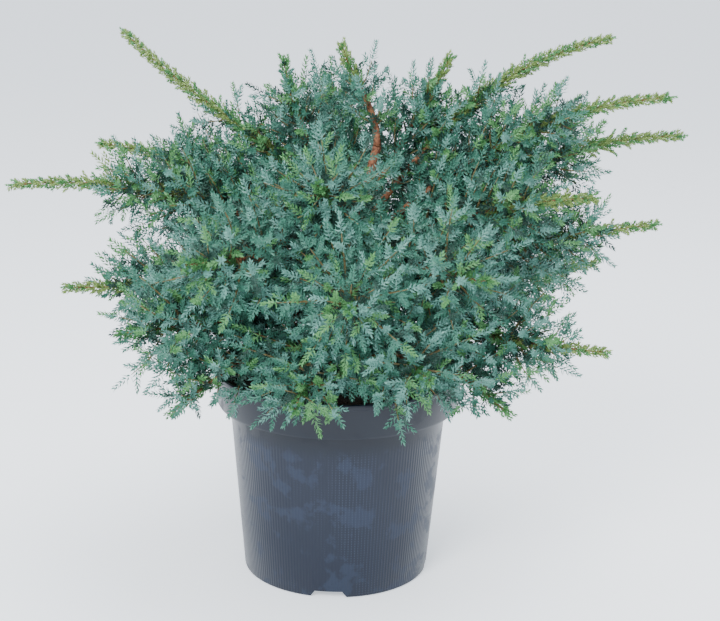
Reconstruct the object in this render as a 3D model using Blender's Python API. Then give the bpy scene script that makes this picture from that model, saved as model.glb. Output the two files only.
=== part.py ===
"""A blue scaly-leaved juniper in a round nursery pot, seen as pot, soil, stem, boughs and foliage masses.

Metres, +Z up. The origin is the middle of the pot's flat underside, and -Y is the front.
"""
import math

import bmesh
import bpy
import numpy as np
from mathutils import Matrix, Vector, noise

# The pot, as radii and heights of its turned profile
POT_SIDES = 36
POT_HEIGHT = 0.2265
RIM_RADIUS = 0.134
BAND_FOOT_RADIUS = 0.1315
BAND_FOOT_HEIGHT = 0.1875
SHOULDER_RADIUS = 0.1174
FOOT_RADIUS = 0.101
WALL = 0.0022
RIM_BEAD = 0.0012
FOOT_RING_WIDTH = 0.005
STANDING_DISC_RADIUS = 0.052
CHANNEL_HEIGHT = 0.008

# The drain notches in the foot ring, and the drain holes through the raised channel
NOTCH_COUNT = 4
NOTCH_TURN = math.radians(-94)
NOTCH_WIDTH_LOW = 0.039
NOTCH_WIDTH_HIGH = 0.029
NOTCH_HEIGHT = 0.007
DRAIN_HOLE_RADIUS = 0.007
DRAIN_HOLE_RING = 0.075

# The soil
GAP = 0.0003
SOIL_TOP = 0.204
SOIL_EDGE_TOP = 0.2015
STEM_SEAT_RADIUS = 0.022

# The stem inside the crown, from its flat foot on the soil to where it enters the topmost mass
STEM_FOOT = Vector((0.0, 0.0, SOIL_TOP + GAP))
STEM_TOP = Vector((0.037, 0.0, 0.468))
STEM_BOW = 0.007
STEM_SIDES = 9
STEM_RINGS = 10
FLARE_RADIUS = 0.0175
STEM_RADIUS = 0.0105
STEM_TOP_RADIUS = 0.0040
FLARE_HEIGHT = 0.035
FLARE_CROWDING = 1.3

# The boughs
BOUGH_SIDES = 6
BOUGH_RINGS = 5
BOUGH_RADIUS = 0.0040
BOUGH_END_RADIUS = 0.0028

# The foliage masses
MASS_SIDES = 10
MASS_RINGS = 10
LAST_RING = 0.985
RING_CROWDING = 0.92
ARCH_PULL = 0.38
START_SWELL = 0.42
SWELL_LENGTH = 0.22
FALL_SHARE = 0.72
LEADER_RADIUS = 0.0065
LEADER_START = 0.8
TIP_RADIUS = 0.0018
MASS_LUMP = 0.20
LUMP_SCALE = 26.0

# The room that each mass leaves to what is beside it
PATH_SAMPLES = 60
LIMB_SAMPLES = 20
MASS_CLEARANCE = 0.0028
LIMB_CLEARANCE = 0.0016
POT_CLEARANCE = 0.006
RAY_STEPS = 30

# Each plume: name, azimuth of its tip (0 right, -90 front), reach, tip height, height where it leaves
# the stem, rise there and at its tip in degrees, radius of the mass, and as shares of its path the end
# of the mass's full body and the bare bough, which is none where the stem itself carries the mass
PLUMES = (
    ("left_long", 180, 0.353, 0.420, 0.330, 33, -6, 0.046, 0.46, 0.25),
    ("left_upper", 168, 0.272, 0.457, 0.346, 34, 4, 0.038, 0.56, 0.28),
    ("upper_left", 165, 0.246, 0.580, 0.366, 54, 44, 0.036, 0.36, 0.22),
    ("top_left", 160, 0.066, 0.558, 0.386, 58, 84, 0.042, 0.70, 0.26),
    ("top", 178, 0.002, 0.573, 0.468, 90, 72, 0.028, 0.62, 0.00),
    ("top_right", 22, 0.124, 0.560, 0.398, 58, 62, 0.040, 0.64, 0.26),
    ("upper_right", 6, 0.287, 0.582, 0.370, 55, 10, 0.038, 0.38, 0.24),
    ("right_high", -4, 0.344, 0.528, 0.351, 44, 4, 0.044, 0.50, 0.28),
    ("right_long", 10, 0.382, 0.474, 0.330, 38, 0, 0.048, 0.48, 0.26),
    ("right_mid", -2, 0.339, 0.392, 0.312, 24, 8, 0.050, 0.60, 0.26),
    ("right_low", 25, 0.331, 0.313, 0.284, 8, 4, 0.058, 0.62, 0.26),
    ("low_right", -25, 0.302, 0.284, 0.262, 12, 2, 0.048, 0.64, 0.30),
    ("skirt_right", -36, 0.218, 0.214, 0.238, 22, -34, 0.044, 0.78, 0.36),
    ("front_leader", -25, 0.282, 0.441, 0.340, 32, 8, 0.048, 0.60, 0.28),
    ("front_right", -56, 0.256, 0.378, 0.320, 32, 10, 0.056, 0.80, 0.26),
    ("front_low", -68, 0.240, 0.280, 0.270, 10, -4, 0.058, 0.80, 0.28),
    ("front_centre", -88, 0.272, 0.362, 0.304, 26, 8, 0.056, 0.80, 0.26),
    ("front_upper", -98, 0.172, 0.462, 0.366, 44, 30, 0.052, 0.80, 0.30),
    ("skirt_front", -102, 0.206, 0.240, 0.248, 18, -24, 0.054, 0.80, 0.34),
    ("front_left", -126, 0.258, 0.388, 0.321, 32, 8, 0.054, 0.78, 0.26),
    ("skirt_left", -144, 0.214, 0.208, 0.252, 16, -32, 0.054, 0.80, 0.34),
    ("left_front", -154, 0.252, 0.290, 0.276, 12, -2, 0.060, 0.82, 0.28),
    ("left_low", -171, 0.294, 0.322, 0.298, 20, 2, 0.050, 0.62, 0.26),
    ("back_left", 136, 0.300, 0.400, 0.308, 32, 4, 0.064, 0.66, 0.26),
    ("back_low_left", 146, 0.262, 0.286, 0.264, 14, -4, 0.056, 0.78, 0.28),
    ("back_low", 88, 0.260, 0.284, 0.258, 14, -6, 0.056, 0.78, 0.28),
    ("back", 94, 0.312, 0.404, 0.334, 34, 6, 0.064, 0.66, 0.26),
    ("back_upper", 96, 0.190, 0.520, 0.351, 56, 34, 0.060, 0.70, 0.28),
    ("back_right", 50, 0.304, 0.398, 0.324, 32, 4, 0.066, 0.68, 0.26),
)


def clear_scene():
    for old in list(bpy.data.objects):
        bpy.data.objects.remove(old, do_unlink=True)


def principled(name, colour, roughness):
    material = bpy.data.materials.new(name)
    material.use_nodes = True
    shader = material.node_tree.nodes["Principled BSDF"]
    shader.inputs["Base Color"].default_value = (*colour, 1.0)
    shader.inputs["Roughness"].default_value = roughness
    shader.inputs["Metallic"].default_value = 0.0
    return material


def object_from(name, mesh_data, material):
    mesh = bpy.data.meshes.new(name)
    bmesh.ops.recalc_face_normals(mesh_data, faces=mesh_data.faces)
    mesh_data.to_mesh(mesh)
    mesh_data.free()
    made = bpy.data.objects.new(name, mesh)
    bpy.context.scene.collection.objects.link(made)
    if material:
        mesh.materials.append(material)
    mesh.shade_smooth()
    mesh.set_sharp_from_angle(angle=math.radians(35))
    return made


def turned(name, profile, material):
    """A closed body turned about the Z axis from a profile whose two ends lie on that axis."""
    work = bmesh.new()
    points = [work.verts.new((radius, 0.0, height)) for radius, height in profile]
    edges = [work.edges.new(pair) for pair in zip(points, points[1:])]
    bmesh.ops.spin(work, geom=points + edges, cent=(0, 0, 0), axis=(0, 0, 1),
                   angle=2 * math.pi, steps=POT_SIDES, use_duplicate=False)
    bmesh.ops.remove_doubles(work, verts=work.verts, dist=0.00002)
    return object_from(name, work, material)


def wall_radius(height):
    """Outer radius of the tapering wall between foot and shoulder."""
    share = height / BAND_FOOT_HEIGHT
    return FOOT_RADIUS + (SHOULDER_RADIUS - FOOT_RADIUS) * share


def pot_profile():
    floor = CHANNEL_HEIGHT + WALL
    shoulder_start = BAND_FOOT_HEIGHT - 0.002
    round_corner = 0.003
    outer = [
        (0.0, 0.0),
        (STANDING_DISC_RADIUS, 0.0),
        (STANDING_DISC_RADIUS + 0.004, CHANNEL_HEIGHT),
        (FOOT_RADIUS - FOOT_RING_WIDTH, CHANNEL_HEIGHT),
        (FOOT_RADIUS - FOOT_RING_WIDTH + 0.001, 0.0),
        (FOOT_RADIUS - 0.0012, 0.0),
        (wall_radius(0.0015), 0.0015),
        (wall_radius(shoulder_start), shoulder_start),
        (SHOULDER_RADIUS + 0.003, BAND_FOOT_HEIGHT),
        (BAND_FOOT_RADIUS - round_corner, BAND_FOOT_HEIGHT),
        (BAND_FOOT_RADIUS, BAND_FOOT_HEIGHT + round_corner),
        (RIM_RADIUS - RIM_BEAD, POT_HEIGHT - 0.005),
        (RIM_RADIUS, POT_HEIGHT - 0.003),
        (RIM_RADIUS - 0.0005, POT_HEIGHT),
    ]
    inner = [
        (RIM_RADIUS - RIM_BEAD - WALL, POT_HEIGHT),
        (BAND_FOOT_RADIUS - WALL, BAND_FOOT_HEIGHT + WALL + round_corner),
        (BAND_FOOT_RADIUS - WALL - round_corner, BAND_FOOT_HEIGHT + WALL),
        (wall_radius(shoulder_start) - WALL, BAND_FOOT_HEIGHT + WALL),
        (wall_radius(floor) - WALL, floor),
        (STANDING_DISC_RADIUS + 0.002, floor),
        (STANDING_DISC_RADIUS - 0.002, WALL),
        (0.0, WALL),
    ]
    return outer + inner


def cutter(name, work):
    made = object_from(name, work, None)
    made.hide_render = True
    made.display_type = "WIRE"
    return made


def cut_with(body, tool):
    cut = body.modifiers.new(tool.name, "BOOLEAN")
    cut.operation = "DIFFERENCE"
    cut.solver = "EXACT"
    cut.object = tool


def notch_cutter(name, azimuth):
    """A trapezoid prism across the foot ring, wider at the ground."""
    work = bmesh.new()
    near = FOOT_RADIUS - FOOT_RING_WIDTH - 0.003
    far = FOOT_RADIUS + 0.006
    below = -0.004
    section = [(-NOTCH_WIDTH_LOW / 2, below), (NOTCH_WIDTH_LOW / 2, below), (NOTCH_WIDTH_LOW / 2, 0.0),
               (NOTCH_WIDTH_HIGH / 2, NOTCH_HEIGHT), (-NOTCH_WIDTH_HIGH / 2, NOTCH_HEIGHT),
               (-NOTCH_WIDTH_LOW / 2, 0.0)]
    face = work.faces.new([work.verts.new((near, side, height)) for side, height in section])
    grown = bmesh.ops.extrude_face_region(work, geom=[face])
    moved = [item for item in grown["geom"] if isinstance(item, bmesh.types.BMVert)]
    bmesh.ops.translate(work, verts=moved, vec=(far - near, 0, 0))
    bmesh.ops.rotate(work, verts=work.verts, cent=(0, 0, 0), matrix=Matrix.Rotation(azimuth, 3, "Z"))
    return cutter(name, work)


def drain_cutter(name, azimuth):
    work = bmesh.new()
    bmesh.ops.create_cone(work, cap_ends=True, segments=10, radius1=DRAIN_HOLE_RADIUS,
                          radius2=DRAIN_HOLE_RADIUS, depth=4 * WALL)
    place = Vector((DRAIN_HOLE_RING * math.cos(azimuth), DRAIN_HOLE_RING * math.sin(azimuth),
                    CHANNEL_HEIGHT + WALL / 2))
    bmesh.ops.translate(work, verts=work.verts, vec=place)
    return cutter(name, work)


def make_pot():
    plastic = principled("pot_plastic", (0.035, 0.045, 0.07), 0.42)
    pot = turned("pot", pot_profile(), plastic)
    for number in range(NOTCH_COUNT):
        azimuth = NOTCH_TURN + number * 2 * math.pi / NOTCH_COUNT
        cut_with(pot, notch_cutter(f"notch_cutter_{number}", azimuth))
        cut_with(pot, drain_cutter(f"drain_cutter_{number}", azimuth))
    return pot


def make_soil():
    compost = principled("soil_compost", (0.06, 0.04, 0.025), 0.95)
    floor = CHANNEL_HEIGHT + WALL
    low_side = wall_radius(floor + GAP) - WALL - 3 * GAP
    high_side = wall_radius(BAND_FOOT_HEIGHT) - WALL - 3 * GAP
    band_side = BAND_FOOT_RADIUS - WALL - 3 * GAP
    profile = [
        (0.0, WALL + GAP),
        (STANDING_DISC_RADIUS - 0.003, WALL + GAP),
        (STANDING_DISC_RADIUS + 0.001, floor + GAP),
        (low_side, floor + GAP),
        (high_side, BAND_FOOT_HEIGHT + WALL + GAP),
        (band_side - 0.004, BAND_FOOT_HEIGHT + WALL + 2 * GAP),
        (band_side - 0.001, BAND_FOOT_HEIGHT + 0.006),
        (band_side - 0.002, SOIL_EDGE_TOP),
        (STEM_SEAT_RADIUS, SOIL_TOP),
        (0.0, SOIL_TOP),
    ]
    return turned("soil", profile, compost)


def stem_point(share):
    """The stem's axis, leaning from its foot to its fork with a slight bow to the back."""
    straight = STEM_FOOT.lerp(STEM_TOP, share)
    return straight + Vector((-STEM_BOW, STEM_BOW, 0)) * math.sin(math.pi * share)


def stem_radius(share):
    height = share * (STEM_TOP.z - STEM_FOOT.z)
    flare = max(0.0, 1 - height / FLARE_HEIGHT) ** 2
    return STEM_RADIUS + (STEM_TOP_RADIUS - STEM_RADIUS) * share + (FLARE_RADIUS - STEM_RADIUS) * flare


def loft(rings, tip=None):
    """A closed body through rings of places, with a flat cap at its start and a cap or tip at its end."""
    work = bmesh.new()
    made = [[work.verts.new(place) for place in ring] for ring in rings]
    count = len(rings[0])
    for low, high in zip(made, made[1:]):
        for number in range(count):
            after = (number + 1) % count
            work.faces.new((low[number], low[after], high[after], high[number]))
    work.faces.new(list(reversed(made[0])))
    if tip is None:
        work.faces.new(made[-1])
    else:
        point = work.verts.new(tip)
        for number in range(count):
            work.faces.new((made[-1][number], made[-1][(number + 1) % count], point))
    return work


def circle(place, side, up, radii):
    """One place for each of the radii, evenly round a centre in the plane of side and up."""
    turns = [2 * math.pi * number / len(radii) for number in range(len(radii))]
    return [place + (side * math.cos(turn) + up * math.sin(turn)) * radius
            for turn, radius in zip(turns, radii)]


def stem_rings(growth):
    """The stem's rings, each level, thicker by growth, which also lengthens both ends."""
    rings = []
    for number in range(STEM_RINGS):
        share = (number / (STEM_RINGS - 1)) ** FLARE_CROWDING
        place = stem_point(share)
        if number == 0:
            place = place - Vector((0, 0, growth))
        if number == STEM_RINGS - 1:
            place = place + Vector((0, 0, growth))
        radii = [stem_radius(share) + growth] * STEM_SIDES
        rings.append(circle(place, Vector((1, 0, 0)), Vector((0, 1, 0)), radii))
    return rings


def make_stem():
    bark = principled("stem_bark", (0.16, 0.075, 0.045), 0.85)
    return object_from("stem", loft(stem_rings(0.0)), bark)


def toward(outward, rise):
    """The direction that climbs by a rise in degrees over a level outward one."""
    angle = math.radians(rise)
    return outward * math.cos(angle) + Vector((0, 0, math.sin(angle)))


class Plume:
    """One bough and the foliage mass that it carries, along one smooth arching path."""

    def __init__(self, row):
        (self.name, azimuth, reach, height, leave, rise, settle,
         self.radius, self.body, self.bare) = row
        turn = math.radians(azimuth)
        start = stem_point((leave - STEM_FOOT.z) / (STEM_TOP.z - STEM_FOOT.z))
        end = Vector((reach * math.cos(turn), reach * math.sin(turn), height))
        outward = Vector((end.x - start.x, end.y - start.y, 0)).normalized()
        pull = ARCH_PULL * (end - start).length
        self.controls = (start, start + toward(outward, rise) * pull,
                         end - toward(outward, settle) * pull, end)
        shares = [number / (PATH_SAMPLES - 1) for number in range(PATH_SAMPLES)]
        leafy = [share for share in shares if share >= self.bare]
        self.samples = [(*self.place(share), self.mass_radius(share)) for share in leafy]

    def place(self, share):
        a, b, c, d = self.controls
        rest = 1 - share
        return a * rest ** 3 + b * 3 * rest ** 2 * share + c * 3 * rest * share ** 2 + d * share ** 3

    def slope(self, share):
        """The path's direction at a share of it, as long as the path is there for each unit of share."""
        step = 0.002
        return (self.place(share + step) - self.place(share - step)) / (2 * step)

    def stations(self, shares):
        """Share, centre, side and up at each share, turning as little as the path allows."""
        side = self.slope(shares[0]).orthogonal()
        for share in shares:
            forward = self.slope(share).normalized()
            side = (side - forward * side.dot(forward)).normalized()
            yield share, self.place(share), side, forward.cross(side)

    def bough_radius(self, share):
        return BOUGH_RADIUS + (BOUGH_END_RADIUS - BOUGH_RADIUS) * share / self.bare

    def mass_radius(self, share):
        """The mass's natural radius: it swells from the bare bough, then thins to the leader and tip."""
        grown = min(1.0, max(0.0, share - self.bare) / SWELL_LENGTH)
        full = self.radius * (START_SWELL + (1 - START_SWELL) * math.sin(grown * math.pi / 2))
        fallen = min(1.0, max(0.0, share - self.body) / (FALL_SHARE * (1 - self.body)))
        thinned = max(0.0, share - LEADER_START) / (1 - LEADER_START)
        leader = LEADER_RADIUS + (TIP_RADIUS - LEADER_RADIUS) * thinned
        return leader + (full - leader) * (0.5 + 0.5 * math.cos(math.pi * fallen))


def make_bough(plume, stem_tool, bark):
    shares = [plume.bare * number / (BOUGH_RINGS - 1) for number in range(BOUGH_RINGS)]
    rings = [circle(place, side, up, [plume.bough_radius(share)] * BOUGH_SIDES)
             for share, place, side, up in plume.stations(shares)]
    bough = object_from(f"bough_{plume.name}", loft(rings), bark)
    cut_with(bough, stem_tool)


class Surroundings:
    """What a mass has to stay clear of: the other masses, the boughs, the stem and the pot."""

    def __init__(self, plumes):
        masses = []
        limbs = []
        parts = [number / LIMB_SAMPLES for number in range(LIMB_SAMPLES + 1)]
        for owner, plume in enumerate(plumes):
            masses += [(owner, *sample) for sample in plume.samples]
            if plume.bare:
                shares = [plume.bare * part for part in parts]
                limbs += [(owner, *plume.place(share), plume.bough_radius(share)) for share in shares]
            else:
                limbs += [(owner, *stem_point(part), stem_radius(part)) for part in parts]
        self.masses = np.array(masses)
        self.limbs = np.array(limbs)

    def free_length(self, own, centre, direction, wanted):
        """How far a mass may reach from its ring's centre, sharing the room by the masses' radii."""
        steps = np.linspace(1 / RAY_STEPS, 1.0, RAY_STEPS) * wanted
        points = np.array(centre) + steps[:, None] * np.array(direction)
        mine = self.masses[:, 0] == own
        distance = np.linalg.norm(points[:, None, :] - self.masses[None, :, 1:4], axis=2)
        ratio = distance / self.masses[:, 4]
        nearest = np.argmin(np.where(mine, ratio, np.inf), axis=1)
        rival = np.argmin(np.where(mine, np.inf, ratio), axis=1)
        rows = np.arange(RAY_STEPS)
        own_radius = self.masses[nearest, 4]
        rival_radius = self.masses[rival, 4]
        room = distance[rows, rival] * own_radius - distance[rows, nearest] * rival_radius
        free = room / (own_radius + rival_radius) >= MASS_CLEARANCE
        others = self.limbs[self.limbs[:, 0] != own]
        limb_gap = np.linalg.norm(points[:, None, :] - others[None, :, 1:4], axis=2) - others[:, 4]
        free &= limb_gap.min(axis=1) >= LIMB_CLEARANCE
        over_rim = points[:, 2] > POT_HEIGHT + POT_CLEARANCE
        beside_rim = np.hypot(points[:, 0], points[:, 1]) > RIM_RADIUS + POT_CLEARANCE
        free &= over_rim | beside_rim
        blocked = np.flatnonzero(~free)
        return float(steps[max(blocked[0] - 1, 0)]) if len(blocked) else wanted


def lump(number, place):
    """Uneven growth, the same each time, from smooth noise through space."""
    shift = Vector((3.7, 1.3, 0.9)) * number
    return 1 + MASS_LUMP * noise.noise(place * LUMP_SCALE + shift)


def make_mass(number, plume, surroundings, foliage):
    first = plume.bare + GAP / plume.slope(plume.bare).length
    crowded = [(ring / (MASS_RINGS - 1)) ** RING_CROWDING for ring in range(MASS_RINGS)]
    shares = [first + (LAST_RING - first) * part for part in crowded]
    rings = []
    for share, centre, side, up in plume.stations(shares):
        natural = plume.mass_radius(share)
        radii = []
        for outer in circle(centre, side, up, [natural] * MASS_SIDES):
            wanted = natural * lump(number, outer)
            radii.append(surroundings.free_length(number, centre, (outer - centre).normalized(), wanted))
        rings.append(circle(centre, side, up, radii))
    object_from(f"mass_{plume.name}", loft(rings, plume.place(1.0)), foliage)


def main():
    clear_scene()
    make_pot()
    make_soil()
    make_stem()
    stem_tool = cutter("stem_cutter", loft(stem_rings(GAP)))
    plumes = [Plume(row) for row in PLUMES]
    surroundings = Surroundings(plumes)
    for number, plume in enumerate(plumes):
        if plume.bare:
            make_bough(plume, stem_tool, principled(f"bark_{plume.name}", (0.20, 0.085, 0.045), 0.85))
        foliage = principled(f"needles_{plume.name}", (0.10, 0.25, 0.22), 0.7)
        make_mass(number, plume, surroundings, foliage)


main()
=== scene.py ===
import math

import bpy
import numpy as np
from mathutils import Matrix, Vector, noise


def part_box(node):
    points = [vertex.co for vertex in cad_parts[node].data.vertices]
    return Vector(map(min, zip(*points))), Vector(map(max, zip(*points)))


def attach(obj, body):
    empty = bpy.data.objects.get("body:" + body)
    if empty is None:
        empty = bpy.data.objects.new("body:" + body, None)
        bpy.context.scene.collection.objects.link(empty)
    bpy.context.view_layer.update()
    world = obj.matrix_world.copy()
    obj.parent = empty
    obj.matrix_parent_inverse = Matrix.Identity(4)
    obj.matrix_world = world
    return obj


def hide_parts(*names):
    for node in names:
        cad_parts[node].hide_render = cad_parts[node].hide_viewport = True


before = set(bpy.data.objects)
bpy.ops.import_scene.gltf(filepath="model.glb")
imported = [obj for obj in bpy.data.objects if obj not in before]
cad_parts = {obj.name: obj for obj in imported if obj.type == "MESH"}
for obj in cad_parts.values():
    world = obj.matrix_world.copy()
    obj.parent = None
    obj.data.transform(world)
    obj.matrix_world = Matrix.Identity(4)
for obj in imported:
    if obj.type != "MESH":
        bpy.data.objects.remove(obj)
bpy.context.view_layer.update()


# The pot is a round nursery container of blow-moulded plastic, thin walled and tapering to its foot,
# with a broad band under the rim. Its foot ring has four drain notches, and dried water marks its wall.
class Value:
    """A socket that can be used in expressions, each adding its Math node."""

    def __init__(self, tree, socket):
        self.tree = tree
        self.socket = socket

    def math(self, operation, *others):
        made = node(self.tree, "ShaderNodeMath", {"operation": operation}, {0: self})
        for place, other in enumerate(others, 1):
            join(self.tree, other, made.inputs[place])
        return Value(self.tree, made.outputs[0])

    def __add__(self, other):
        return self.math("ADD", other)

    def __mul__(self, other):
        return self.math("MULTIPLY", other)

    __radd__ = __add__
    __rmul__ = __mul__


def join(tree, value, socket):
    """Links a value or a socket to a socket, or sets the socket to a number, colour or vector."""
    if isinstance(value, Value):
        tree.links.new(value.socket, socket)
    elif isinstance(value, bpy.types.NodeSocket):
        tree.links.new(value, socket)
    else:
        socket.default_value = value


def node(tree, kind, settings, values):
    """One node of a type, with its settings set first and then the values or links of its sockets."""
    made = tree.nodes.new(kind)
    for name, setting in settings.items():
        setattr(made, name, setting)
    for name, value in values.items():
        join(tree, value, made.inputs[name])
    return made


def new_material(name, colour, roughness):
    material = bpy.data.materials.new(name)
    material.use_nodes = True
    shader = material.node_tree.nodes["Principled BSDF"]
    shader.inputs["Base Color"].default_value = (*colour, 1)
    shader.inputs["Roughness"].default_value = roughness
    return material, material.node_tree, shader


def noise_value(tree, place, scale, detail, roughness=0.5):
    made = node(tree, "ShaderNodeTexNoise", {}, {"Vector": place, "Scale": scale, "Detail": detail,
                                                 "Roughness": roughness})
    return Value(tree, made.outputs["Fac"])


def step_range(tree, value, low, high):
    """A soft step from 0 at the low value to 1 at the high one."""
    made = node(tree, "ShaderNodeMapRange", {"interpolation_type": "SMOOTHSTEP"},
                {"Value": value, "From Min": low, "From Max": high})
    return Value(tree, made.outputs["Result"])


def colour_mix(tree, factor, first, second):
    made = node(tree, "ShaderNodeMix", {"data_type": "RGBA"}, {"Factor": factor})
    join(tree, first, made.inputs[6])
    join(tree, second, made.inputs[7])
    return made.outputs[2]


def bump(tree, shader, height, distance):
    made = node(tree, "ShaderNodeBump", {}, {"Height": height, "Distance": distance})
    tree.links.new(made.outputs["Normal"], shader.inputs["Normal"])


pot_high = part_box("pot")[1]
pot_height = pot_high[2]
rim_radius = pot_high[0]
band_taper = 0.0025
band_height = 0.039
band_foot_radius = rim_radius - band_taper
band_foot = pot_height - band_height
shoulder_radius = 0.1174
foot_radius = 0.101
wall = 0.0022
channel = 0.008
disc_radius = 0.052
first_ring_radius = disc_radius - 0.004
pot_sides = 144


def wall_radius(height):
    return foot_radius + (shoulder_radius - foot_radius) * height / band_foot


bpy.ops.object.select_all(action="DESELECT")
bpy.ops.mesh.primitive_circle_add(vertices=pot_sides, radius=first_ring_radius, fill_type="NGON")
pot = bpy.context.object
pot.name = "nursery_pot"
pot_profile = [
    (disc_radius, 0.0), (disc_radius + 0.0005, 0.0006), (disc_radius + 0.004, channel),
    (foot_radius - 0.005, channel), (foot_radius - 0.004, 0.0), (foot_radius - 0.0014, 0.0),
    (foot_radius - 0.0004, 0.0004), (wall_radius(0.0016), 0.0016), (wall_radius(0.06), 0.06),
    (wall_radius(0.12), 0.12), (wall_radius(band_foot - 0.004), band_foot - 0.004),
    (shoulder_radius + 0.0004, band_foot - 0.0012), (shoulder_radius + 0.002, band_foot),
    (band_foot_radius - 0.0045, band_foot), (band_foot_radius - 0.0016, band_foot + 0.0009),
    (band_foot_radius, band_foot + 0.004), (rim_radius - 0.0012, pot_height - 0.0062),
    (rim_radius - 0.0002, pot_height - 0.005), (rim_radius, pot_height - 0.003),
    (rim_radius - 0.0004, pot_height - 0.0008), (rim_radius - 0.0012, pot_height),
    (rim_radius - 0.0026, pot_height), (rim_radius - 0.0034, pot_height - 0.001),
    (band_foot_radius - wall, band_foot + wall + 0.004),
    (band_foot_radius - wall - 0.003, band_foot + wall), (wall_radius(band_foot) - wall, band_foot + wall),
    (wall_radius(channel + wall) - wall, channel + wall), (disc_radius + 0.002, channel + wall),
    (disc_radius - 0.002, wall),
]
bpy.ops.object.mode_set(mode="EDIT")
bpy.ops.mesh.select_all(action="SELECT")
last_radius, last_height = first_ring_radius, 0.0
for radius, height in pot_profile:
    bpy.ops.mesh.extrude_region_move(TRANSFORM_OT_translate={"value": (0, 0, height - last_height)})
    bpy.ops.transform.resize(value=(radius / last_radius, radius / last_radius, 1),
                             center_override=(0, 0, height))
    last_radius, last_height = radius, height
bpy.ops.mesh.select_all(action="SELECT")
bpy.ops.mesh.normals_make_consistent(inside=False)
bpy.ops.object.mode_set(mode="OBJECT")

notch_count = 4
front_notch_turn = -94
notch_ring_radius = 0.1
notch_depth = 0.020
notch_top_width = 0.029
notch_foot_width = 0.045
notch_top = 0.007
notch_foot = -0.004
for number in range(notch_count):
    bpy.ops.object.select_all(action="DESELECT")
    bpy.ops.mesh.primitive_cube_add(size=1, location=(notch_ring_radius, 0, 0))
    notch = bpy.context.object
    for corner in notch.data.vertices:
        upper = corner.co.z > 0
        corner.co.x *= notch_depth
        corner.co.y *= notch_top_width if upper else notch_foot_width
        corner.co.z = notch_top if upper else notch_foot
    bpy.ops.object.transform_apply(location=True, rotation=False, scale=False)
    turn = math.radians(front_notch_turn + 360 // notch_count * number)
    notch.data.transform(Matrix.Rotation(turn, 4, "Z"))
    bpy.ops.object.select_all(action="DESELECT")
    bpy.context.view_layer.objects.active = pot
    pot.select_set(True)
    cut = pot.modifiers.new("notch", "BOOLEAN")
    cut.operation = "DIFFERENCE"
    cut.object = notch
    bpy.ops.object.modifier_apply(modifier="notch")
    bpy.data.objects.remove(notch)
bpy.ops.object.shade_smooth_by_angle(angle=math.radians(32))

rib_count = 190
dot_radians_per_metre = 2200
relief_height = 0.00022
dull_plastic = (0.008, 0.012, 0.024, 1)
water_patch = (0.016, 0.024, 0.046, 1)
dotted_mark = (0.040, 0.055, 0.090, 1)
shaded_band = (0.006, 0.009, 0.016, 1)
plastic, tree, shader = new_material("pot_plastic", (0.028, 0.036, 0.058), 0.36)
shader.inputs["Specular IOR Level"].default_value = 0.28
place = node(tree, "ShaderNodeTexCoord", {}, {}).outputs["Object"]
parts = node(tree, "ShaderNodeSeparateXYZ", {}, {"Vector": place})
across, along, up = (Value(tree, parts.outputs[axis]) for axis in "XYZ")
angle = along.math("ARCTAN2", across)
stretched = node(tree, "ShaderNodeMapping", {}, {"Vector": place, "Scale": (1, 1, 0.22)}).outputs["Vector"]
ribs = (angle * rib_count).math("SINE")
rib_lines = step_range(tree, ribs, 0.55, 0.95)
dots = step_range(tree, (up * dot_radians_per_metre).math("SINE"), -0.2, 0.5)
worn = step_range(tree, noise_value(tree, stretched, 26, 4), 0.46, 0.62)
patches = step_range(tree, noise_value(tree, place, 34, 5, 0.62), 0.52, 0.60)
below_band = step_range(tree, up, band_foot - 0.01, band_foot - 0.03)
marks = rib_lines * dots * worn * below_band
dull = colour_mix(tree, patches * 0.75, dull_plastic, water_patch)
marked = colour_mix(tree, marks * 0.6, dull, dotted_mark)
banded = colour_mix(tree, below_band, shaded_band, marked)
tree.links.new(banded, shader.inputs["Base Color"])
join(tree, 0.30 + patches * 0.16 + marks * 0.15, shader.inputs["Roughness"])
fine = noise_value(tree, place, 900, 2)
bump(tree, shader, ribs * below_band * 0.4 + fine * 0.25 + patches * 0.1, relief_height)
pot.data.materials.append(plastic)
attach(pot, "root")
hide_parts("pot")


# The soil is moist brown compost, settled a little below the rim, with an uneven crumbly top
# that rises to the foot of the stem.
soil_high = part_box("soil")[1]
soil_top = soil_high[2]
soil_gap = 0.0008
soil_lift = 0.004
soil_radius = band_foot_radius - wall - soil_gap
soil_sides = 96
crumb_rings = 22
crumb_ring_width = 0.0055
crumb_scale = 160
crumb_height = 0.0012
top_settling = 0.0015
edge_fall = 0.002
bpy.ops.object.select_all(action="DESELECT")
bpy.ops.mesh.primitive_cylinder_add(vertices=soil_sides, radius=soil_radius,
                                    depth=soil_top - band_foot - soil_lift,
                                    location=(0, 0, (soil_top + band_foot + soil_lift) / 2))
soil = bpy.context.object
soil.name = "compost"
bpy.ops.object.mode_set(mode="EDIT")
bpy.ops.mesh.select_all(action="SELECT")
bpy.ops.mesh.select_mode(type="FACE")
bpy.ops.object.mode_set(mode="OBJECT")
for face in soil.data.polygons:
    face.select = face.normal.z > 0.9
bpy.ops.object.mode_set(mode="EDIT")
for _ in range(crumb_rings):
    bpy.ops.mesh.inset(thickness=crumb_ring_width, depth=0)
bpy.ops.mesh.select_all(action="DESELECT")
bpy.ops.object.mode_set(mode="OBJECT")
bpy.ops.object.transform_apply(location=True, rotation=False, scale=False)
for corner in soil.data.vertices:
    if corner.co.z > soil_top - 0.001:
        crumbs = noise.fractal(corner.co * crumb_scale, 0.9, 2.0, 4) * crumb_height
        out = math.hypot(corner.co.x, corner.co.y) / soil_radius
        corner.co.z += crumbs - top_settling - edge_fall * out
bpy.ops.object.shade_smooth_by_angle(angle=math.radians(60))
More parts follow.
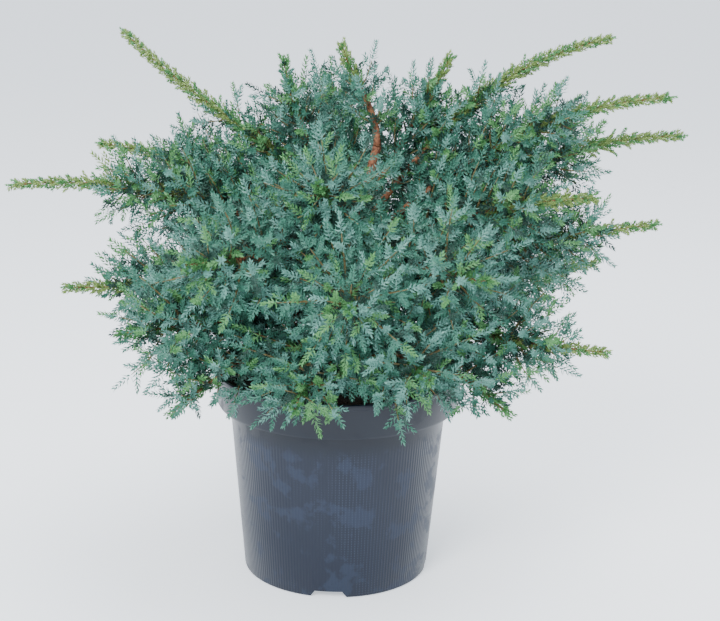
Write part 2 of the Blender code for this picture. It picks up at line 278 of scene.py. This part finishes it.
compost, tree, shader = new_material("compost", (0.05, 0.03, 0.02), 0.92)
place = node(tree, "ShaderNodeTexCoord", {}, {}).outputs["Object"]
grain = noise_value(tree, place, 420, 6, 0.7)
clods = step_range(tree, grain, 0.35, 0.7)
earth = colour_mix(tree, clods, (0.018, 0.011, 0.008, 1), (0.11, 0.065, 0.04, 1))
tree.links.new(earth, shader.inputs["Base Color"])
bump(tree, shader, grain, 0.0016)
soil.data.materials.append(compost)
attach(soil, "root")
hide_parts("soil")


# The stem and boughs are red-brown juniper wood with thin flaking bark. The stem flares at the soil,
# leans to the right and carries every bough, each arching out and thinning to the tip of its leader.
stem_gap = 0.0003
stem_foot = Vector((0, 0, soil_top + stem_gap))
stem_end = Vector((0.037, 0, 0.468))
stem_bow = 0.007
stem_length = 0.264
stem_radius = 0.0105
stem_thinning = 0.0062
flare_width = 0.007
flare_height = 0.035
bough_radius = 0.0036
bough_tip_radius = 0.0008
bough_end = 0.97
bough_ring_gap = 0.006
bark_depth = 0.22
bough_thin_past_body = 0.18
bough_thinning_power = 0.75
bark_shift = 7.3
arch_pull = 0.38
arch_stretch = 1.04
heading_step = 0.004
leader_body = 0.66
leafless_part = 0.6
high_plume, high_slimness = 0.50, 0.82
highest_plume, highest_slimness = 0.57, 0.68
swelling_share = 0.25
taper_lead = 0.14
taper_share = 0.92
taper_reach = 1.14
leader_spread = 0.012
leader_narrowing = 0.007
# Each plume's azimuth, reach, tip height and height where it leaves the stem, its climb in degrees at
# the stem and at the tip, its radius, and the shares of its course where full body and bare foot end.
plume_rows = {
    "left_long": (180, 0.353, 0.420, 0.330, 33, -6, 0.046, 0.46, 0.25),
    "left_upper": (168, 0.272, 0.457, 0.346, 34, 4, 0.038, 0.56, 0.28),
    "upper_left": (165, 0.246, 0.580, 0.366, 54, 44, 0.036, 0.36, 0.22),
    "top_left": (160, 0.066, 0.558, 0.386, 58, 84, 0.042, 0.70, 0.26),
    "top": (178, 0.002, 0.573, 0.468, 90, 72, 0.028, 0.62, 0.00),
    "top_right": (22, 0.124, 0.560, 0.398, 58, 62, 0.040, 0.64, 0.26),
    "upper_right": (6, 0.287, 0.582, 0.370, 55, 10, 0.038, 0.38, 0.24),
    "right_high": (-4, 0.344, 0.528, 0.351, 44, 4, 0.044, 0.50, 0.28),
    "right_long": (10, 0.382, 0.474, 0.330, 38, 0, 0.048, 0.48, 0.26),
    "right_mid": (-2, 0.339, 0.392, 0.312, 24, 8, 0.050, 0.60, 0.26),
    "right_low": (25, 0.331, 0.313, 0.284, 8, 4, 0.058, 0.62, 0.26),
    "low_right": (-25, 0.302, 0.284, 0.262, 12, 2, 0.048, 0.64, 0.30),
    "skirt_right": (-36, 0.218, 0.214, 0.238, 22, -34, 0.044, 0.78, 0.36),
    "front_leader": (-25, 0.282, 0.441, 0.340, 32, 8, 0.048, 0.60, 0.28),
    "front_right": (-56, 0.256, 0.378, 0.320, 32, 10, 0.056, 0.80, 0.26),
    "front_low": (-68, 0.240, 0.280, 0.270, 10, -4, 0.058, 0.80, 0.28),
    "front_centre": (-88, 0.272, 0.362, 0.304, 26, 8, 0.056, 0.80, 0.26),
    "front_upper": (-98, 0.172, 0.462, 0.366, 44, 30, 0.052, 0.80, 0.30),
    "skirt_front": (-102, 0.206, 0.240, 0.248, 18, -24, 0.054, 0.80, 0.34),
    "front_left": (-126, 0.258, 0.388, 0.321, 32, 8, 0.054, 0.78, 0.26),
    "skirt_left": (-144, 0.214, 0.208, 0.252, 16, -32, 0.054, 0.80, 0.34),
    "left_front": (-154, 0.252, 0.290, 0.276, 12, -2, 0.060, 0.82, 0.28),
    "left_low": (-171, 0.294, 0.322, 0.298, 20, 2, 0.050, 0.62, 0.26),
    "back_left": (136, 0.300, 0.400, 0.308, 32, 4, 0.064, 0.66, 0.26),
    "back_low_left": (146, 0.262, 0.286, 0.264, 14, -4, 0.056, 0.78, 0.28),
    "back_low": (88, 0.260, 0.284, 0.258, 14, -6, 0.056, 0.78, 0.28),
    "back": (94, 0.312, 0.404, 0.334, 34, 6, 0.064, 0.66, 0.26),
    "back_upper": (96, 0.190, 0.520, 0.351, 56, 34, 0.060, 0.70, 0.28),
    "back_right": (50, 0.304, 0.398, 0.324, 32, 4, 0.066, 0.68, 0.26),
}


def stem_place(share):
    return stem_foot.lerp(stem_end, share) + Vector((-stem_bow, stem_bow, 0)) * math.sin(math.pi * share)


def climbing(outward, degrees):
    angle = math.radians(degrees)
    return outward * math.cos(angle) + Vector((0, 0, math.sin(angle)))


class Plume:
    """One bough's arching course, and how far foliage stands out from it."""

    def __init__(self, azimuth, reach, height, leave, rise, settle, radius, body, bare):
        self.radius = radius
        self.body = body
        self.leafy_from = bare * leafless_part
        self.has_leader = body < leader_body
        self.slimness = 1
        if height > highest_plume:
            self.slimness = highest_slimness
        elif height > high_plume:
            self.slimness = high_slimness
        turn = math.radians(azimuth)
        start = stem_place((leave - stem_foot.z) / (stem_end.z - stem_foot.z))
        end = Vector((reach * math.cos(turn), reach * math.sin(turn), height))
        outward = Vector((end.x - start.x, end.y - start.y, 0)).normalized()
        pull = arch_pull * (end - start).length
        self.length = (end - start).length * arch_stretch
        self.controls = [np.array(p) for p in (start, start + climbing(outward, rise) * pull,
                                               end - climbing(outward, settle) * pull, end)]

    def place(self, share):
        a, b, c, d = self.controls
        rest = 1 - share
        return a * rest ** 3 + b * 3 * rest ** 2 * share + c * 3 * rest * share ** 2 + d * share ** 3

    def heading(self, share):
        way = self.place(share + heading_step) - self.place(share - heading_step)
        return way / np.linalg.norm(way)

    def spread(self, share):
        """How far foliage reaches from the bough: it swells near the stem and falls to the leader's."""
        grown = min(1.0, max(0.0, share - self.leafy_from) / swelling_share)
        full = self.radius * (0.5 + 0.5 * math.sin(grown * math.pi / 2))
        tapering = taper_share * (taper_reach - self.body)
        fallen = min(1.0, max(0.0, share - self.body + taper_lead) / tapering)
        leader = leader_spread - leader_narrowing * share
        return leader + (full - leader) * (0.5 + 0.5 * math.cos(math.pi * fallen))


def any_side(way):
    """A direction square to a way."""
    guide = np.array((0, 0, 1.0)) if abs(way[2]) < 0.9 else np.array((1.0, 0, 0))
    side = np.cross(way, guide)
    return side / np.linalg.norm(side)


def tube(path, radii, sides, rough=0.0, seed=0.0):
    """Places and faces of a closed round limb along a path, its skin raised and sunk like bark."""
    path = [np.asarray(p, float) for p in path]
    places, faces = [], []
    side = any_side(path[1] - path[0])
    for ring, (centre, radius) in enumerate(zip(path, radii)):
        way = path[min(ring + 1, len(path) - 1)] - path[max(ring - 1, 0)]
        way /= np.linalg.norm(way)
        side = side - way * side.dot(way)
        side /= np.linalg.norm(side)
        over = np.cross(way, side)
        for corner in range(sides):
            turn = 2 * math.pi * corner / sides
            skin = radius
            if rough:
                flake = Vector((math.cos(turn) * 2.2, math.sin(turn) * 2.2, ring * 0.28 + seed))
                skin += rough * radius * noise.fractal(flake, 0.8, 2.0, 3)
            places.append(centre + (side * math.cos(turn) + over * math.sin(turn)) * skin)
        if ring:
            base = (ring - 1) * sides
            for corner in range(sides):
                after = (corner + 1) % sides
                faces.append((base + corner, base + after, base + sides + after, base + sides + corner))
    faces.append(tuple(reversed(range(sides))))
    faces.append(tuple(range(len(places) - sides, len(places))))
    return places, faces


def object_of(name, bodies, material):
    """One smooth object of several closed bodies."""
    places, faces = [], []
    for body_places, body_faces in bodies:
        base = len(places)
        places += [tuple(p) for p in body_places]
        faces += [tuple(corner + base for corner in face) for face in body_faces]
    mesh = bpy.data.meshes.new(name)
    mesh.from_pydata(places, [], faces)
    made = bpy.data.objects.new(name, mesh)
    bpy.context.scene.collection.objects.link(made)
    mesh.materials.append(material)
    mesh.shade_smooth()
    return made


dark_bark = (0.075, 0.028, 0.016, 1)
red_bark = (0.30, 0.115, 0.055, 1)
peeled_bark = (0.42, 0.20, 0.09, 1)
bark, tree, shader = new_material("flaking_bark", (0.2, 0.085, 0.045), 0.8)
place = node(tree, "ShaderNodeTexCoord", {}, {}).outputs["Object"]
flakes = noise_value(tree, place, 330, 5, 0.65)
streaks = noise_value(tree, place, 90, 3)
wood = colour_mix(tree, step_range(tree, flakes, 0.38, 0.62), dark_bark, red_bark)
wood = colour_mix(tree, step_range(tree, streaks, 0.5, 0.68) * 0.6, wood, peeled_bark)
tree.links.new(wood, shader.inputs["Base Color"])
bump(tree, shader, flakes, 0.0008)

stem_rings = 90
stem_sides = 28
stem_path = [stem_place(ring / (stem_rings - 1)) for ring in range(stem_rings)]
stem_radii = []
for ring in range(stem_rings):
    share = ring / (stem_rings - 1)
    flare = max(0.0, 1 - share * stem_length / flare_height) ** 2
    stem_radii.append(stem_radius - stem_thinning * share + flare_width * flare)
stem = object_of("juniper_stem", [tube(stem_path, stem_radii, stem_sides, bark_depth)], bark)
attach(stem, "root")
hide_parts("stem")

bough_sides = 10
fewest_bough_rings = 12
plumes = [Plume(*row) for row in plume_rows.values()]
limbs = []
for number, plume in enumerate(plumes):
    rings = max(fewest_bough_rings, int(plume.length / bough_ring_gap))
    shares = [bough_end * ring / (rings - 1) for ring in range(rings)]
    thinned = [max(0.0, 1 - share / (plume.body + bough_thin_past_body)) for share in shares]
    radii = [bough_tip_radius + bough_radius * left ** bough_thinning_power for left in thinned]
    course = [plume.place(share) for share in shares]
    limbs.append(tube(course, radii, bough_sides, bark_depth, number * bark_shift))
boughs = object_of("juniper_boughs", limbs, bark)
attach(boughs, "root")
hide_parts(*[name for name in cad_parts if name.startswith("bough")])


# The twigs branch from the boughs in a slow spiral, in tufts, and bend towards the bough's tip. Each
# carries short leafy shoots on all sides and ends in one. Shoots close to the wood clothe the leaders.
random_source = np.random.default_rng(1867)
golden = math.radians(137.5)
full_turn = 6.28
twig_gap = 0.0035
twig_ring_gap = 0.009
twig_sides = 4
twig_tip_radius = 0.0004
twig_foot_radius = 0.0005
twig_thickening = 0.022
shortest_twig = 0.017
lowest_twig = pot_height - 0.008
last_twig = 0.985
twig_count_share = 0.99
reach_range = (0.76, 1.18)
lean_range = (0.55, 0.95)
lean_at_foot = 0.6
twig_lift = 0.10
bend_reach = 0.55
tuft_low, tuft_rise = 0.74, 0.42
tuft_wave, tuft_shift = 17, 40
shoot_gap = 0.0044
first_shoot, last_shoot = 0.22, 0.97
shoot_lift = 0.18
forward_range = (0.7, 1.3)
side_length_range = (0.014, 0.025)
end_length_range = (0.016, 0.026)
lone_shoot_stretch = 1.15
leader_shoot_gap = 0.0022
leader_lead = 0.08
leader_count_share = 1.05
leader_end = 0.965
leader_shoot_length = 0.010
leader_shoot_growth = 0.022
leader_opening = 0.45
wood_surface = 0.0006
tip_start = 0.955
tip_length_share = 0.045
lowest_shoot_tip = pot_height - 0.020
rim_clear_height = pot_height + 0.004
rim_clear_radius = rim_radius + 0.006
stem_clear_radius = 0.035
open_crown_height = 0.40
open_shoot, slim_shoot, tip_shoot = 1.0, 0.6, 0.55
# The first class is the darkest needle colour: a darker tone dealt at random in the crown, and painted
# shade on the inner shoots.
dark_tone_and_painted_shade, teal, silver_blue, fresh_green, yellow_green = range(5)
crown_deal = ((0.50, teal), (0.84, silver_blue), (0.91, dark_tone_and_painted_shade), (1.00, fresh_green))
leader_deal = ((0.45, yellow_green), (1.00, fresh_green))
leader_colour_from = 0.22
fresh_from, fresh_share = 0.05, 0.20
inner_part = 0.35
yellow_at_stem, yellow_growth = 0.25, 0.6
shoots = []
twig_bodies = []


def add_shoot(start, way, length, kind, spread):
    shoots.append((*start, *(way / np.linalg.norm(way)), length, kind, spread))


def dealt(deal, lot):
    return next(kind for limit, kind in deal if lot < limit)


def leaf_kind(share, plume, depth):
    """Which needle colour a shoot gets: the darkest as painted shade inside, fresh or yellow-green at the
    leaders, else blues.
    """
    lot = random_source.random()
    if plume.body + leader_colour_from < share and plume.has_leader:
        return dealt(leader_deal, lot)
    # Shoots near the twig's foot, deep in the crown, take the darkest needles as painted shade.
    if depth < inner_part:
        return dark_tone_and_painted_shade
    if share > plume.body - fresh_from and lot < fresh_share:
        return fresh_green
    return dealt(crown_deal, lot)


def around(way, turn):
    """The direction square to a way, turned round it."""
    side = any_side(way)
    return side * math.cos(turn) + np.cross(way, side) * math.sin(turn)


def along_bend(start, bend, end, share):
    return start * (1 - share) ** 2 + bend * 2 * share * (1 - share) + end * share * share


def grow_twig(plume, share, centre, bend, end, reach):
    """A twig's wood, and the shoots along it and at its end."""
    steps = max(3, int(reach / twig_ring_gap) + 1)
    path = [along_bend(centre, bend, end, spot) for spot in np.linspace(0, 1, steps)]
    thick = twig_foot_radius + twig_thickening * reach
    twig_bodies.append(tube(path, list(np.linspace(thick, twig_tip_radius, steps)), twig_sides))
    spin = random_source.random() * full_turn
    for spot in np.arange(first_shoot, last_shoot, shoot_gap / reach):
        along_twig = (bend - centre) * (1 - spot) + (end - bend) * spot
        along_twig /= np.linalg.norm(along_twig)
        spin += golden
        lifted = around(along_twig, spin) + np.array((0, 0, shoot_lift))
        aim = along_twig * random_source.uniform(*forward_range) + lifted
        length = random_source.uniform(*side_length_range)
        start = along_bend(centre, bend, end, spot)
        add_shoot(start, aim, length, leaf_kind(share, plume, spot), open_shoot)
    length = random_source.uniform(*end_length_range)
    add_shoot(end, end - bend, length, leaf_kind(share, plume, 1.0), open_shoot)


def grow_foliage(plume):
    """The twigs round a bough from where its leaves begin, and single shoots where it is slim."""
    count = int(plume.length * (twig_count_share - plume.leafy_from) / twig_gap)
    turn = random_source.random() * full_turn
    for number in range(count):
        step = number + random_source.random()
        share = plume.leafy_from + (last_twig - plume.leafy_from) * step / count
        turn += golden
        centre, way = plume.place(share), plume.heading(share)
        radial = around(way, turn)
        wave = math.sin(share * tuft_wave + plume.length * tuft_shift)
        tuft = tuft_low + tuft_rise * wave ** 2
        reach = plume.spread(share) * tuft * random_source.uniform(*reach_range) * plume.slimness
        lean = random_source.uniform(*lean_range)
        start_way = radial + way * lean * lean_at_foot
        start_way /= np.linalg.norm(start_way)
        end = centre + radial * reach + way * reach * lean + np.array((0, 0, twig_lift * reach))
        if min(centre[2], end[2]) < lowest_twig:
            continue
        if reach < shortest_twig:
            length = reach * lone_shoot_stretch
            add_shoot(centre, end - centre, length, leaf_kind(share, plume, 1.0), slim_shoot)
        else:
            bend = centre + start_way * reach * bend_reach
            grow_twig(plume, share, centre, bend, end, reach)


def grow_leader(plume):
    """Short shoots close to the wood, shortest near the tip, and one that ends the bough."""
    count = int(plume.length * (leader_count_share - plume.body) / leader_shoot_gap) + 1
    spin = 0.0
    for spot in np.linspace(plume.body - leader_lead, leader_end, count):
        yellowed = plume.has_leader and random_source.random() < yellow_at_stem + yellow_growth * spot
        kind = yellow_green if yellowed else fresh_green
        way = plume.heading(spot)
        spin += golden
        out = around(way, spin)
        start = plume.place(spot) + out * wood_surface
        length = leader_shoot_length + leader_shoot_growth * (leader_end - spot)
        add_shoot(start, way + out * leader_opening, length, kind, slim_shoot)
    length = plume.length * tip_length_share
    add_shoot(plume.place(tip_start), plume.heading(tip_start), length, fresh_green, tip_shoot)


for plume in plumes:
    grow_foliage(plume)
    grow_leader(plume)

shoots = np.array(shoots)
shoot_start, shoot_way = shoots[:, 0:3], shoots[:, 3:6]
radial_out = np.hypot(shoot_start[:, 0], shoot_start[:, 1])
clear_of_pot = (shoot_start[:, 2] > rim_clear_height) | (radial_out > rim_clear_radius)
clear_of_stem = (radial_out > stem_clear_radius) | (shoot_start[:, 2] > open_crown_height)
tip_heights = shoot_start[:, 2] + shoot_way[:, 2] * shoots[:, 6]
shoots = shoots[clear_of_pot & clear_of_stem & (tip_heights > lowest_shoot_tip)]
twig_wood = new_material("young_twigs", (0.17, 0.13, 0.05), 0.7)[0]
twigs = object_of("juniper_twigs", twig_bodies, twig_wood)
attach(twigs, "root")


# The needles are stiff awl-shaped leaves, 5 to 7 mm long, in whorls of three close together along every
# shoot, wide open at its foot and closing towards its tip. Each is two faces folded along its middle.
needle_colours = {
    # The darkest needles are a darker tone dealt at random in the crown, and painted shade on shoots
    # inside it.
    "dark_tone_and_painted_shade": ((0.012, 0.055, 0.038), 0.62),
    "teal": ((0.045, 0.170, 0.118), 0.55),
    "silver_blue": ((0.105, 0.265, 0.220), 0.50),
    "fresh_green": ((0.085, 0.255, 0.085), 0.52),
    "yellow_green": ((0.215, 0.320, 0.095), 0.55),
}
needle_length = 0.0070
needle_half_width = 0.00105
needle_fold = 0.5
widest_share = 0.42
fewest_whorls = 3
whorl_gap = 0.0024
whorl_turn = 1.047
leaves_in_whorl = 3
leaf_turn = 2.094
open_at_foot = 1.12
closing = 0.62
needles_in_piece = 95000


def needles_on(rows):
    """Corner places of every needle on these shoots, four corners to a needle."""
    start, way, length, spread = rows[:, 0:3], rows[:, 3:6], rows[:, 6], rows[:, 8]
    whorls = np.maximum(fewest_whorls, (length / whorl_gap).astype(int))
    which = np.repeat(np.arange(len(rows)), whorls)
    first = np.cumsum(whorls) - whorls
    order = np.arange(len(which)) - first[which]
    share = (order + 0.5) / whorls[which]
    base = start[which] + way[which] * (length[which] * share)[:, None]
    guide = np.where(np.abs(way[which][:, 2:3]) < 0.9, np.array([[0, 0, 1.0]]), np.array([[1.0, 0, 0]]))
    side = np.cross(way[which], guide)
    side /= np.linalg.norm(side, axis=1)[:, None]
    over = np.cross(way[which], side)
    corners = []
    for leaf in range(leaves_in_whorl):
        jitter = random_source.normal(0, 0.16, len(which))
        turn = order * whorl_turn + leaf * leaf_turn + jitter
        out = side * np.cos(turn)[:, None] + over * np.sin(turn)[:, None]
        unevenness = random_source.normal(0, 0.10, len(which))
        open_angle = (open_at_foot - closing * share) * spread[which] + unevenness
        aim = way[which] * np.cos(open_angle)[:, None] + out * np.sin(open_angle)[:, None]
        width = np.cross(aim, out - aim * np.sum(out * aim, axis=1)[:, None])
        width /= np.linalg.norm(width, axis=1)[:, None]
        fold = np.cross(width, aim)
        size = needle_length * (1.05 - 0.35 * share) * (0.6 + 0.4 * spread[which])
        size = (size * random_source.uniform(0.85, 1.15, len(which)))[:, None]
        middle = base + aim * size * widest_share + fold * needle_half_width * needle_fold
        corners.append(np.stack([base, middle + width * needle_half_width,
                                 base + aim * size, middle - width * needle_half_width], axis=1))
    return np.concatenate(corners)


def needle_object(name, corners, material):
    """One object of two triangles for each needle."""
    base = np.arange(len(corners))[:, None] * 4
    faces = np.concatenate([base + (0, 1, 2), base + (0, 2, 3)], axis=0)
    mesh = bpy.data.meshes.new(name)
    mesh.vertices.add(len(corners) * 4)
    mesh.vertices.foreach_set("co", corners.reshape(-1))
    mesh.loops.add(len(faces) * 3)
    mesh.loops.foreach_set("vertex_index", faces.reshape(-1))
    mesh.polygons.add(len(faces))
    mesh.polygons.foreach_set("loop_start", np.arange(len(faces)) * 3)
    mesh.update(calc_edges=True)
    mesh.materials.append(material)
    made = bpy.data.objects.new(name, mesh)
    bpy.context.scene.collection.objects.link(made)
    return made


mass_nodes = [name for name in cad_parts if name.startswith("mass")]
for kind, (kind_name, (colour, roughness)) in enumerate(needle_colours.items()):
    corners = needles_on(shoots[shoots[:, 7] == kind])
    needle_skin = new_material(f"needles_{kind_name}", colour, roughness)[0]
    for number, first in enumerate(range(0, len(corners), needles_in_piece)):
        piece_corners = corners[first:first + needles_in_piece]
        needles = needle_object(f"needles_{kind_name}_{number}", piece_corners, needle_skin)
        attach(needles, "root")
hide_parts(*mass_nodes)


# The stage is a wide flat floor of pale paint that glows a little, under a pale sky and two soft lights,
# one in front and one overhead. The camera stands where the picture was taken.
bpy.ops.object.select_all(action="DESELECT")
bpy.ops.mesh.primitive_plane_add(size=14, location=(0, 3, -0.0005))
floor = bpy.context.object
floor.name = "stage_floor"
stage_paint, tree, shader = new_material("stage_paint", (0.88, 0.91, 0.95), 0.6)
shader.inputs["Emission Color"].default_value = (0.88, 0.94, 1.0, 1)
shader.inputs["Emission Strength"].default_value = 0.75
floor.data.materials.append(stage_paint)

world = bpy.data.worlds.new("studio")
bpy.context.scene.world = world
world.use_nodes = True
world.node_tree.nodes["Background"].inputs["Color"].default_value = (0.86, 0.92, 1.0, 1)
world.node_tree.nodes["Background"].inputs["Strength"].default_value = 1.15


def soft_light(name, place, size, power):
    """A square light that shines at the middle of the plant."""
    lamp = bpy.data.lights.new(name, "AREA")
    lamp.shape = "SQUARE"
    lamp.size = size
    lamp.energy = power
    made = bpy.data.objects.new(name, lamp)
    made.location = place
    made.rotation_euler = (Vector((0, 0, 0.3)) - Vector(place)).to_track_quat("-Z", "Y").to_euler()
    bpy.context.scene.collection.objects.link(made)


soft_light("front_softbox", (-0.9, -2.2, 2.0), 1.1, 105)
soft_light("top_softbox", (0.5, 0.2, 2.4), 1.8, 60)

camera_place = Vector((0.0, -1.7125, 0.7635))
camera_way = Vector((0.0125, 0.9637, -0.2668)).normalized()
camera_roll = math.radians(1.087)
level_right = camera_way.cross(Vector((0, 0, 1))).normalized()
level_up = level_right.cross(camera_way)
right = level_right * math.cos(camera_roll) + level_up * math.sin(camera_roll)
up_way = level_up * math.cos(camera_roll) - level_right * math.sin(camera_roll)
lens = bpy.data.cameras.new("studio_camera")
lens.lens = 82.6
lens.sensor_width = 36
lens.sensor_fit = "HORIZONTAL"
camera = bpy.data.objects.new("studio_camera", lens)
bpy.context.scene.collection.objects.link(camera)
turned = Matrix((right, up_way, -camera_way)).transposed().to_4x4()
camera.matrix_world = Matrix.Translation(camera_place) @ turned
bpy.context.scene.camera = camera
